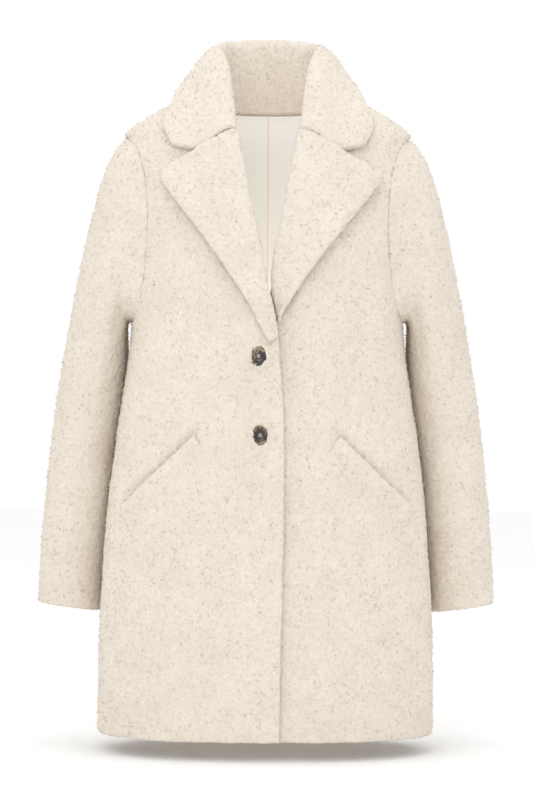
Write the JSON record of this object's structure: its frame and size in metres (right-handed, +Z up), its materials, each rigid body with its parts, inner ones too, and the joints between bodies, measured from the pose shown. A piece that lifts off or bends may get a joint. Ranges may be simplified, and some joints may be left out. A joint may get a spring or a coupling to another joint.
{
  "type": "faux fur coat",
  "caption": "Hollow thigh-length teddy fur coat with notched lapels, a high turned collar, slanted welt pockets and a buttoned front, hanging filled out with open neck, cuffs and hem.",
  "frame": {"origin": "middle of the neck opening, level with the tops of the shoulder seams, where the wearer's shoulders hold the coat up", "axes": "+Z up along the coat's length, the front faces -Y, +X to the viewer's right (the wearer's left)"},
  "size_m": [0.575, 0.2685, 0.87],
  "materials": {
    "fur": "short curly pile, matt",
    "lining": "satin",
    "button": "polished mottled horn look"
  },
  "bodies": {
    "root": {"front_right": "fur", "front_left": "fur", "back": "fur", "sleeve_left": "fur", "sleeve_right": "fur", "collar": "fur", "lapel_right": "fur", "lapel_left": "fur", "pocket_welt_right": "fur", "pocket_welt_left": "fur", "back_lining": "lining", "button_upper": "button", "button_lower": "button"}
  },
  "joints": []
}
